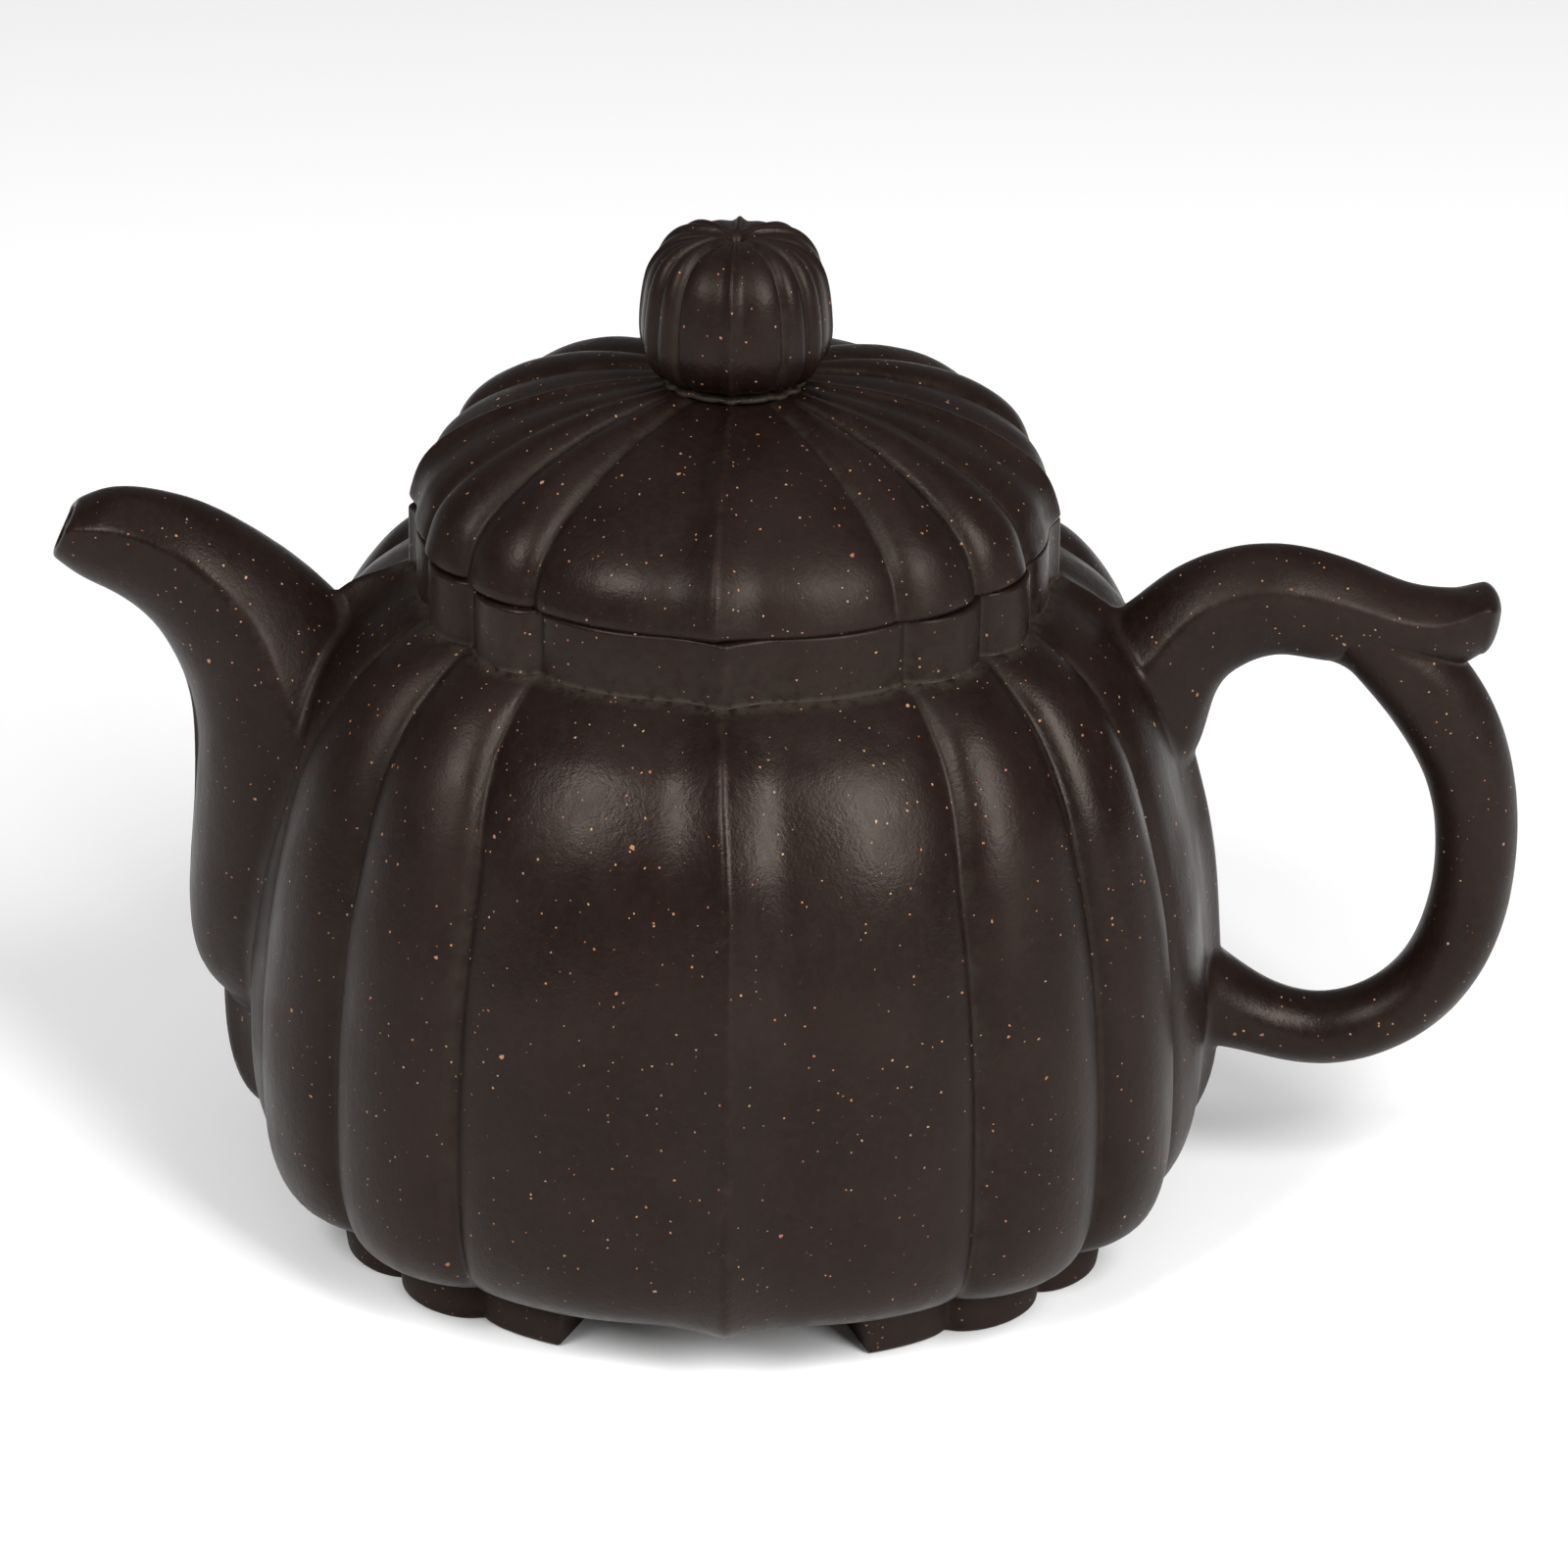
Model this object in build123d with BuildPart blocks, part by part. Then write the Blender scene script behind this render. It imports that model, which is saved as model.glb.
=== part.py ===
from build123d import *
import os
from math import cos, hypot, radians, sin

# A twelve-petal clay teapot with a lift-off lid.  Every piece is one that the
# potter forms by itself and lutes on: slabs, rings, feet, spout, handle, knob.
# Frame: origin on the table under the middle of the body, +Z up, spout
# towards -X, handle towards +X, front towards -Y.  Millimetres and degrees.

# ---- plan outline: ratios of the crest radius, angles from the front ----
FRONT_GROOVE = 33.0
MIDDLE_GROOVE = 51.5
SIDE_GROOVE = 68.5
GROOVE = 0.940
FRONT_RIDGE = 1.0
FRONT_TURN = (0.951, 12.0)
FRONT_LEAN = -14.0
SIDE_RIDGE = 0.985
SIDE_TURN = (0.957, 82.0)
SIDE_LEAN = 12.0

# ---- body ----
CLAY = 3.3
BASE_BOTTOM = 6.4
BASE_TOP = 10.0
SHOULDER_BOTTOM = 73.0
NECK_BOTTOM = 79.9
NECK_TOP = 87.6
NECK_RADIUS = 39.0
MOUTH_RADIUS = 33.4
CAVITY_TOP_RADIUS = 36.0
CAVITY_TOP = 76.6
BODY_PROFILE = [
    (53.0, BASE_BOTTOM),
    (56.6, 8.3),
    (59.0, 12.5),
    (60.1, 19.0),
    (60.2, 28.0),
    (59.6, 38.0),
    (58.3, 48.0),
    (56.2, 57.0),
    (53.2, 66.0),
    (49.4, 72.3),
    (45.2, 76.7),
    (NECK_RADIUS, NECK_BOTTOM),
]

# ---- feet ----
FOOT_TIP_RADIUS = 48.2
FOOT_ROOT_RADIUS = 49.4
FOOT_INNER_RADIUS = 40.5
FOOT_SPAN = 45.0

# ---- spout: (top x, top z, bottom x, bottom z, half width, channel wall) ----
ARRIS = 0.70
ROOF_SPREAD = 0.36
SPOUT_STATIONS = [
    (-77.3, 87.0, -80.4, 80.6, 4.2, 1.0),
    (-74.0, 88.5, -77.4, 78.2, 5.2, 1.7),
    (-69.0, 88.6, -73.5, 76.1, 6.0, 2.2),
    (-62.6, 86.8, -68.8, 72.5, 7.2, 2.6),
    (-56.6, 83.4, -65.6, 67.0, 8.8, 2.8),
    (-51.2, 79.4, -63.8, 57.0, 11.2, 3.0),
    (-46.6, 75.0, -65.1, 38.0, 13.6, 3.0),
    (-42.0, 70.0, -62.9, 26.0, 14.6, 3.0),
    (-36.0, 66.0, -54.6, 19.5, 14.6, 3.0),
]
STRAINER_CENTRE = (-54.6, 53.0)
STRAINER_LEAN = 13.0
STRAINER_RADIUS = 8.0
STRAINER_CLAY = 1.6
STRAINER_RIM = 3.4
STRAINER_CROWN = 8.4
STRAINER_HOLE = 0.8
STRAINER_RINGS = [(2.4, 6), (4.7, 12)]

# ---- handle strap: (top x, top z, bottom x, bottom z, half width) ----
STRAP_STATIONS = [
    (38.0, 71.0, 48.0, 50.0, 8.6),
    (46.4, 76.2, 55.4, 58.6, 7.6),
    (51.0, 80.1, 57.2, 65.4, 6.6),
    (57.0, 83.2, 60.4, 69.2, 6.0),
    (63.3, 84.2, 64.6, 70.6, 5.8),
    (69.6, 83.3, 69.4, 70.0, 5.8),
    (75.6, 81.0, 75.0, 70.0, 5.8),
    (80.2, 79.3, 79.2, 69.9, 5.6),
    (84.2, 79.0, 83.4, 69.5, 5.2),
    (88.0, 79.7, 87.4, 70.8, 4.4),
    (90.0, 78.9, 89.8, 74.4, 2.4),
]
# handle ring: (x, z, half thickness, half width)
LOOP_STATIONS = [
    (54.0, 26.4, 7.2, 7.0),
    (59.2, 24.2, 5.5, 5.6),
    (64.4, 22.2, 4.5, 4.9),
    (71.2, 20.9, 4.3, 4.8),
    (78.0, 22.6, 4.35, 4.8),
    (83.7, 27.1, 4.5, 4.9),
    (87.5, 34.4, 4.7, 5.0),
    (89.1, 44.0, 4.85, 5.0),
    (88.2, 53.6, 5.1, 5.1),
    (85.2, 61.8, 5.6, 5.3),
    (81.0, 67.2, 6.0, 5.4),
    (76.2, 71.2, 5.4, 5.2),
    (71.0, 74.4, 3.8, 4.4),
]

# ---- lid ----
LID_TURN = -1.8
SEAT_GAP = 0.2
LID_BOTTOM = NECK_TOP + SEAT_GAP
LID_PLATE_TOP = 89.8
LID_TOP = 104.6
LID_HOLLOW_TOP = 100.4
LID_PROFILE = [
    (38.9, LID_BOTTOM),
    (38.8, LID_PLATE_TOP),
    (37.4, 93.2),
    (33.4, 97.2),
    (26.4, 100.9),
    (17.5, 103.5),
    (8.6, LID_TOP),
]
FLANGE_CLEARANCE = 0.7
FLANGE_RADIUS = MOUTH_RADIUS - FLANGE_CLEARANCE
FLANGE_CLAY = 3.0
FLANGE_BOTTOM = 79.0
COLLAR_TOP = 105.2
KNOB_PROFILE = [
    (8.0, COLLAR_TOP),
    (10.2, 106.6),
    (11.4, 109.0),
    (11.65, 111.6),
    (11.3, 115.4),
    (10.1, 119.2),
    (7.4, 121.8),
    (3.0, 122.6),
]
VENT_RADIUS = 0.6


def plan_point(radius, ratio, angle):
    """A point of the plan, at an angle from the front."""
    return (radius * ratio * sin(radians(angle)), -radius * ratio * cos(radians(angle)))


def bracket_arcs(radius, ridge, ridge_angle, turn, lean, groove_angle):
    """Half of a bracket petal: a hollow up to its ridge, a swell down to its groove."""
    ratio, angle = turn
    start = plan_point(radius, ratio, angle)
    heading = (cos(radians(angle + lean)), sin(radians(angle + lean)))
    outwards = 1 if groove_angle > angle else -1
    along = (outwards * heading[0], outwards * heading[1])
    back = (-along[0], -along[1])
    TangentArc(start, plan_point(radius, GROOVE, groove_angle), tangent=along)
    TangentArc(start, plan_point(radius, ridge, ridge_angle), tangent=back)


def lobe_arc(radius, first_groove, last_groove):
    """A plain rounded petal between two grooves."""
    ThreePointArc(
        plan_point(radius, GROOVE, first_groove),
        plan_point(radius, 1.0, (first_groove + last_groove) / 2),
        plan_point(radius, GROOVE, last_groove),
    )


def petal_section(radius, height, turn=0.0):
    """The plan outline of twelve petals at one level, as a face."""
    with BuildSketch(Plane.XY.offset(height).rotated((0, 0, turn))) as section:
        with BuildLine():
            bracket_arcs(radius, FRONT_RIDGE, 0.0, FRONT_TURN, FRONT_LEAN, FRONT_GROOVE)
            lobe_arc(radius, FRONT_GROOVE, MIDDLE_GROOVE)
            lobe_arc(radius, MIDDLE_GROOVE, SIDE_GROOVE)
            bracket_arcs(radius, SIDE_RIDGE, 90.0, SIDE_TURN, SIDE_LEAN, SIDE_GROOVE)
            mirror(about=Plane.YZ)
            mirror(about=Plane.XZ)
        make_face()
    return section.sketch.face()


def petal_sections(profile, turn=0.0):
    return [petal_section(radius, height, turn) for radius, height in profile]


def shield_section(top_x, top_z, bottom_x, bottom_z, half_width):
    """A rounded underside below a flatter roof, which meet in an arris at each side."""
    height = hypot(top_x - bottom_x, top_z - bottom_z)
    rise = ((top_x - bottom_x) / height, 0, (top_z - bottom_z) / height)
    across = Vector(0, 1, 0)
    station = Plane(origin=(bottom_x, 0, bottom_z), x_dir=across, z_dir=across.cross(Vector(rise)))
    arris = ARRIS * height
    spread = ROOF_SPREAD * half_width
    crown = arris + (height - arris) / 0.75
    with BuildSketch(station) as section:
        with BuildLine():
            EllipticalCenterArc((0, arris), half_width, arris, start_angle=180, arc_size=180)
            Bezier((half_width, arris), (spread, crown), (-spread, crown), (-half_width, arris))
        make_face()
    return section.sketch.face()


def channel_section(top_x, top_z, bottom_x, bottom_z, half_width, clay):
    """The same section drawn in by the clay's thickness."""
    height = hypot(top_x - bottom_x, top_z - bottom_z)
    dx = clay * (top_x - bottom_x) / height
    dz = clay * (top_z - bottom_z) / height
    return shield_section(top_x - dx, top_z - dz, bottom_x + dx, bottom_z + dz, half_width - clay)


def ring_section(stations, index):
    """An ellipse across the handle ring's middle line, at one of its stations."""
    x, z, half_thickness, half_width = stations[index]
    before = stations[max(index - 1, 0)]
    after = stations[min(index + 1, len(stations) - 1)]
    along = Vector(after[0] - before[0], 0, after[1] - before[1])
    with BuildSketch(Plane(origin=(x, 0, z), x_dir=(0, 1, 0), z_dir=along)) as section:
        Ellipse(half_width, half_thickness)
    return section.sketch.face()


def finish(piece, name):
    """Label a finished piece and write its file."""
    piece.part.label = name
    export_step(piece.part, f"parts/{name}.step")


os.makedirs("parts", exist_ok=True)

# ---- the pot's outer form and its hollow, which the pieces are cut from ----
with BuildPart() as body_form:
    loft(petal_sections(BODY_PROFILE))

cavity_profile = [(BODY_PROFILE[1][0] - CLAY, BASE_TOP)]
cavity_profile += [(r - CLAY, z) for r, z in BODY_PROFILE if BASE_TOP + 2 < z < SHOULDER_BOTTOM]
cavity_profile += [(CAVITY_TOP_RADIUS, CAVITY_TOP)]

with BuildPart() as cavity:
    loft(petal_sections(cavity_profile))

# the strainer leans with the wall, so its axis points inwards and a little down
strainer_origin = Vector(STRAINER_CENTRE[0], 0, STRAINER_CENTRE[1])
inwards = Vector(cos(radians(STRAINER_LEAN)), 0, -sin(radians(STRAINER_LEAN)))
strainer_face = Plane(origin=strainer_origin, x_dir=(0, 1, 0), z_dir=inwards)
strainer_side = Plane(origin=strainer_origin, x_dir=inwards, z_dir=(0, -1, 0))

with BuildPart() as strainer_bore:
    with BuildSketch(strainer_face):
        Circle(STRAINER_RADIUS)
    extrude(amount=STRAINER_CROWN, both=True)

# ---- body slabs ----
with BuildPart() as base_plate:
    add(body_form.part)
    split(bisect_by=Plane.XY.offset(BASE_TOP), keep=Keep.BOTTOM)
finish(base_plate, "base_plate")

with BuildPart() as body_wall:
    add(body_form.part)
    split(bisect_by=Plane.XY.offset(BASE_TOP), keep=Keep.TOP)
    split(bisect_by=Plane.XY.offset(SHOULDER_BOTTOM), keep=Keep.BOTTOM)
    add(cavity.part, mode=Mode.SUBTRACT)
    add(strainer_bore.part, mode=Mode.SUBTRACT)
finish(body_wall, "body_wall")

with BuildPart() as shoulder:
    add(body_form.part)
    split(bisect_by=Plane.XY.offset(SHOULDER_BOTTOM), keep=Keep.TOP)
    add(cavity.part, mode=Mode.SUBTRACT)
    with BuildSketch(Plane.XY.offset(SHOULDER_BOTTOM)):
        Circle(MOUTH_RADIUS)
    extrude(amount=NECK_BOTTOM - SHOULDER_BOTTOM, mode=Mode.SUBTRACT)
finish(shoulder, "shoulder")

with BuildPart() as neck_collar:
    add(petal_section(NECK_RADIUS, NECK_BOTTOM))
    extrude(amount=NECK_TOP - NECK_BOTTOM)
    with BuildSketch(Plane.XY.offset(NECK_BOTTOM)):
        Circle(MOUTH_RADIUS)
    extrude(amount=NECK_TOP - NECK_BOTTOM, mode=Mode.SUBTRACT)
finish(neck_collar, "neck_collar")

# ---- feet: four arcs of a lobed ring, one at each corner ----
with BuildPart() as foot_ring:
    loft([petal_section(FOOT_TIP_RADIUS, 0), petal_section(FOOT_ROOT_RADIUS, BASE_BOTTOM)])
    with BuildSketch():
        Circle(FOOT_INNER_RADIUS)
    extrude(amount=BASE_BOTTOM, mode=Mode.SUBTRACT)

FOOT_CORNERS = {
    "foot_front_right": -45.0,
    "foot_front_left": -135.0,
    "foot_back_left": 135.0,
    "foot_back_right": 45.0,
}
for foot_name, corner in FOOT_CORNERS.items():
    reach = 2 * FOOT_ROOT_RADIUS
    first = radians(corner - FOOT_SPAN / 2)
    last = radians(corner + FOOT_SPAN / 2)
    with BuildPart() as foot:
        add(foot_ring.part)
        with BuildSketch():
            Polygon(
                (0, 0),
                (reach * cos(first), reach * sin(first)),
                (reach * cos(last), reach * sin(last)),
                align=None,
            )
        extrude(amount=BASE_BOTTOM, mode=Mode.INTERSECT)
    finish(foot, foot_name)

# ---- spout and its strainer ----
with BuildPart() as spout:
    loft([shield_section(*station[:5]) for station in SPOUT_STATIONS])
    loft([channel_section(*station) for station in SPOUT_STATIONS], mode=Mode.SUBTRACT)
    add(body_form.part, mode=Mode.SUBTRACT)
finish(spout, "spout")

with BuildPart() as spout_strainer:
    with BuildSketch(strainer_side):
        with BuildLine():
            outer_rim = (STRAINER_RIM, STRAINER_RADIUS)
            inner_rim = (STRAINER_RIM, STRAINER_RADIUS - STRAINER_CLAY)
            outer_crown = (STRAINER_CROWN, 0)
            inner_crown = (STRAINER_CROWN - STRAINER_CLAY, 0)
            Polyline(outer_rim, (0, outer_rim[1]), (0, inner_rim[1]), inner_rim)
            TangentArc(outer_crown, outer_rim, tangent=(0, 1))
            TangentArc(inner_crown, inner_rim, tangent=(0, 1))
            Line(inner_crown, outer_crown)
        make_face()
    revolve(axis=Axis(strainer_origin, inwards))
    with BuildSketch(strainer_face):
        Circle(STRAINER_HOLE)
        for ring_radius, count in STRAINER_RINGS:
            with PolarLocations(ring_radius, count):
                Circle(STRAINER_HOLE)
    extrude(amount=STRAINER_CROWN, mode=Mode.SUBTRACT)
finish(spout_strainer, "spout_strainer")

# ---- handle ----
with BuildPart() as handle_strap:
    loft([shield_section(*station) for station in STRAP_STATIONS])
    add(body_form.part, mode=Mode.SUBTRACT)
finish(handle_strap, "handle_strap")

with BuildPart() as handle_loop:
    loft([ring_section(LOOP_STATIONS, index) for index in range(len(LOOP_STATIONS))])
    add(body_form.part, mode=Mode.SUBTRACT)
    add(handle_strap.part, mode=Mode.SUBTRACT)
finish(handle_loop, "handle_loop")

# ---- lid ----
with BuildPart() as vent:
    with BuildSketch(Plane.XY.offset(LID_BOTTOM)):
        Circle(VENT_RADIUS)
    extrude(amount=KNOB_PROFILE[-1][1] - LID_BOTTOM + 1)

with BuildPart() as lid_form:
    loft(petal_sections(LID_PROFILE, LID_TURN))

with BuildPart() as lid_hollow:
    with BuildSketch(Plane.XZ):
        with BuildLine():
            rim = (FLANGE_RADIUS - FLANGE_CLAY, LID_BOTTOM)
            crown = (0, LID_HOLLOW_TOP)
            Polyline(rim, (0, LID_BOTTOM), crown)
            TangentArc(crown, rim, tangent=(1, 0))
        make_face()
    revolve(axis=Axis.Z)

with BuildPart() as lid_plate:
    add(lid_form.part)
    split(bisect_by=Plane.XY.offset(LID_PLATE_TOP), keep=Keep.BOTTOM)
    add(lid_hollow.part, mode=Mode.SUBTRACT)
finish(lid_plate, "lid_plate")

with BuildPart() as lid_dome:
    add(lid_form.part)
    split(bisect_by=Plane.XY.offset(LID_PLATE_TOP), keep=Keep.TOP)
    add(lid_hollow.part, mode=Mode.SUBTRACT)
    add(vent.part, mode=Mode.SUBTRACT)
finish(lid_dome, "lid_dome")

with BuildPart() as lid_flange:
    with BuildSketch(Plane.XY.offset(FLANGE_BOTTOM)):
        Circle(FLANGE_RADIUS)
        Circle(FLANGE_RADIUS - FLANGE_CLAY, mode=Mode.SUBTRACT)
    extrude(amount=LID_BOTTOM - FLANGE_BOTTOM)
finish(lid_flange, "lid_flange")

with BuildPart() as knob_collar:
    add(petal_section(LID_PROFILE[-1][0], LID_TOP, LID_TURN))
    extrude(amount=COLLAR_TOP - LID_TOP)
    add(vent.part, mode=Mode.SUBTRACT)
finish(knob_collar, "knob_collar")

with BuildPart() as knob:
    loft(petal_sections(KNOB_PROFILE, LID_TURN))
    add(vent.part, mode=Mode.SUBTRACT)
finish(knob, "knob")
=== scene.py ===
from math import cos, degrees, exp, hypot, pi, radians, sin, sqrt

import bmesh
import bpy
import numpy as np
from mathutils import Matrix, Vector, noise
from mathutils.bvhtree import BVHTree


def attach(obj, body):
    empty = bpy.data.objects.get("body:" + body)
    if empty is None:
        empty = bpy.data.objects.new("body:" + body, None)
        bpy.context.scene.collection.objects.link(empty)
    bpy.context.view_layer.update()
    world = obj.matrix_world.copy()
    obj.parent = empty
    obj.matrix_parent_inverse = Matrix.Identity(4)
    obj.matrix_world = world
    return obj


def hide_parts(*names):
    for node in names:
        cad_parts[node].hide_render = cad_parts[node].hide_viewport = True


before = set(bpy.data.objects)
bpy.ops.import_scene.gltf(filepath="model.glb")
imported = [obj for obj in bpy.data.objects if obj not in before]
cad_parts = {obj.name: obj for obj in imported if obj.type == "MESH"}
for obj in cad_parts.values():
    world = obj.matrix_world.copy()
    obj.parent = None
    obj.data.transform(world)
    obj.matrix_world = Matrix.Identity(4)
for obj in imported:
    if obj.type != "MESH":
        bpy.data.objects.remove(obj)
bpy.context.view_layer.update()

# A petalled clay teapot.  Shapes are worked in millimetres and scaled to metres
# when a piece is finished.  Angles are in degrees round the pot, from the front (-Y)
# towards the handle (+X); the spout is at -90.
MM = 0.001
MERGE = 1e-4

# ---- petals: ratios of the crest radius, at marks round the pot ----
GROOVE = 0.936
CREST = 1.0
HOLLOW = 0.952
SWELL = 0.966
FRONT_RIDGE = 1.0
SIDE_RIDGE = 0.985
SPOUT_RIDGE = 1.022
LOBE_FULLNESS = 0.60
# the outline's own even angles of the ridges (0, 90, 180) and of the grooves between lobes
MARKS = (
    -180, -146.5, -129.5, -112.5, -90, -67.5, -50.5, -33.5,
    0, 33.5, 50.5, 67.5, 90, 112.5, 129.5, 146.5, 180,
)
# where a potter's thumb left the same marks on the body, and on the neck and lid
BODY_MARKS = (
    -180, -148, -129.5, -109, -90, -71, -51.8, -32.4,
    1.1, 31.8, 50.4, 66, 90, 113, 129.5, 148, 180,
)
NECK_MARKS = (
    -180, -145.4, -128, -111.5, -90, -68.5, -52.3, -35.4,
    0, 33.8, 51.5, 67.5, 90, 112, 128, 145.4, 180,
)
TURN_STEPS = 720
TABLE_STEP = 0.05

# ---- pot: radii and heights; profiles are (radius, height) ----
BASE_BOTTOM = 6.4
BASE_TOP = 10.0
NECK_BOTTOM = 79.9
NECK_TOP = 87.6
NECK_RADIUS = 39.0
MOUTH_RADIUS = 33.4
BODY_PROFILE = [
    (53.0, 6.4), (56.6, 8.3), (59.0, 12.5), (60.1, 19.0), (60.2, 28.0), (59.6, 38.0),
    (58.3, 48.0), (56.2, 57.0), (53.2, 66.0), (49.4, 72.3), (45.2, 76.7), (39.0, 79.9),
]

# ---- feet ----
FOOT_INSIDE = 41.0
FOOT_SOLE_RADIUS = 50.6
FOOT_ROOT_RADIUS = 51.4
FOOT_HEIGHT = 7.2
FOOT_SPAN = 45.0
FOOT_TAPER = 1.0
FEET = (
    ("foot_front_right", 42.6), ("foot_back_right", 135.0),
    ("foot_back_left", 225.0), ("foot_front_left", 316.2),
)

# ---- lid ----
LID_TURN = -1.8
LID_BOTTOM = 87.8
LID_TOP = 104.6
COLLAR_BOTTOM = 104.4
COLLAR_TOP = 105.45
FLANGE_INSIDE = 29.7
FLANGE_OUTSIDE = 32.7
FLANGE_BOTTOM = 79.0
FLANGE_TOP = 87.9
HOLLOW_TOP = 100.4
HOLLOW_RADIUS = 41.3
HOLLOW_EDGE = (27.6, 89.8)
EDGE_CENTRE = (38.1, 88.65)
EDGE_ROUNDING = 0.85
VENT_RADIUS = 0.6
LID_PROFILE = [
    (38.8, 89.4), (37.4, 93.2), (33.4, 97.2), (26.4, 100.9), (17.5, 103.5), (8.6, LID_TOP),
]
KNOB_PROFILE = [
    (8.0, 105.2), (10.2, 106.6), (11.4, 109.0), (11.6, 111.6), (11.25, 115.4), (10.1, 119.2),
    (7.4, 121.8), (4.2, 122.5), (2.0, 122.3), (1.0, 121.6), (VENT_RADIUS, 120.6),
]

# ---- the shield section of spout and strap: its arris as a share of its height, the
# spread of its roof, and the share of its outline that is underside ----
ARRIS = 0.74
ROOF_SPREAD = 0.30
LOWER_SHARE = 0.62

# ---- spout, from its lip: (top x, top z, bottom x, bottom z, half width, clay) ----
SPOUT_AROUND = 112
MOUTH_SHARE = 0.011
CHANNEL_ROWS = 60
LIP_ROWS = 6
SPOUT_STATIONS = [
    (-77.3, 87.0, -80.4, 80.6, 4.2, 1.0),
    (-74.0, 88.5, -77.4, 78.2, 5.2, 1.7),
    (-69.0, 88.6, -73.5, 76.1, 6.0, 2.2),
    (-62.6, 86.8, -68.8, 72.5, 7.2, 2.6),
    (-56.6, 83.4, -65.6, 67.0, 8.8, 2.8),
    (-51.2, 79.4, -63.8, 57.0, 11.2, 3.0),
    (-46.6, 75.0, -65.1, 38.0, 13.6, 3.0),
    (-42.0, 70.0, -62.9, 26.0, 14.6, 3.0),
    (-36.0, 66.0, -54.6, 19.5, 14.6, 3.0),
]

# ---- handle strap, from its curled tip: (top x, top z, bottom x, bottom z, half width) ----
STRAP_AROUND = 88
TIP_ROWS = 9
TIP_LENGTH = 2.0
TIP_CENTRE = 0.70
TIP_ARRIS_RISE = 0.18
STRAP_STATIONS = [
    (88.6, 79.0, 88.1, 71.0, 4.3),
    (86.6, 78.7, 86.0, 69.7, 4.7),
    (84.2, 78.8, 83.4, 69.5, 5.2),
    (80.2, 79.3, 79.2, 69.9, 5.6),
    (75.6, 81.0, 75.0, 70.0, 5.8),
    (69.6, 83.3, 69.4, 70.0, 5.8),
    (63.3, 84.2, 64.6, 70.6, 5.8),
    (57.0, 83.2, 60.4, 69.2, 6.0),
    (51.0, 80.1, 57.2, 65.4, 6.6),
    (46.4, 76.2, 55.4, 58.6, 7.6),
    (38.0, 71.0, 48.0, 50.0, 8.6),
]

# ---- handle loop, from its foot: (x, z, half thickness, half width) ----
LOOP_AROUND = 80
LOOP_STATIONS = [
    (54.0, 26.4, 7.2, 7.0),
    (59.2, 24.2, 5.5, 5.6),
    (64.4, 22.2, 4.5, 4.9),
    (71.2, 20.9, 4.3, 4.8),
    (78.0, 22.6, 4.35, 4.8),
    (83.7, 27.1, 4.5, 4.9),
    (87.5, 34.4, 4.7, 5.0),
    (89.0, 44.0, 4.85, 5.0),
    (88.2, 53.6, 5.1, 5.1),
    (85.2, 61.8, 5.6, 5.3),
    (81.35, 67.5, 5.6, 5.4),
    (76.6, 72.0, 4.9, 5.2),
    (71.0, 75.4, 3.5, 4.6),
    (65.6, 77.0, 2.7, 4.2),
]


# ---------------------------------------------------------------- outline of the petals
def smoothstep(low, high, value):
    t = min(max((value - low) / (high - low), 0.0), 1.0)
    return t * t * (3 - 2 * t)


def outline(angle, spout_ridge):
    """The ratio of the outline to the crest circle, at an angle of the even marks."""
    angle = (angle + 180) % 360 - 180
    petal = int(np.clip(np.searchsorted(MARKS, angle) - 1, 0, len(MARKS) - 2))
    low, high = MARKS[petal], MARKS[petal + 1]
    if low % 90 and high % 90:
        t = (2 * angle - low - high) / (high - low)
        return GROOVE + (CREST - GROOVE) * (1 - t * t) ** LOBE_FULLNESS
    ridge_angle, groove_angle = (low, high) if low % 90 == 0 else (high, low)
    t = abs((angle - ridge_angle) / (groove_angle - ridge_angle))
    ridge = {0: FRONT_RIDGE, -90: spout_ridge, 90: SIDE_RIDGE}.get(ridge_angle, FRONT_RIDGE)
    face = HOLLOW + (SWELL - HOLLOW) * smoothstep(0.15, 0.65, t)
    face += (ridge - HOLLOW) * max(0.0, 1 - t / 0.27) ** 1.9
    return GROOVE + (face - GROOVE) * (1 - t**9) ** LOBE_FULLNESS


TABLE_ANGLES = np.arange(-210.0, 210.0, TABLE_STEP)
EVEN_TABLE = np.cumsum([outline(a, SIDE_RIDGE) for a in TABLE_ANGLES]) * TABLE_STEP
BODY_TABLE = np.cumsum([outline(a, SPOUT_RIDGE) for a in TABLE_ANGLES]) * TABLE_STEP


def petal_ratio(table, angles, softness):
    """The outline averaged over a few degrees, which rounds its grooves and ridges."""
    high = np.interp(angles + softness, TABLE_ANGLES, table)
    low = np.interp(angles - softness, TABLE_ANGLES, table)
    return (high - low) / (2 * softness)


def near(angles, grooves):
    """The angles to the nearest groove, or to the nearest ridge."""
    marks = [mark for mark in MARKS if (mark % 90 != 0) == grooves]
    return np.min([np.abs(angles - mark) for mark in marks], axis=0)


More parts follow.
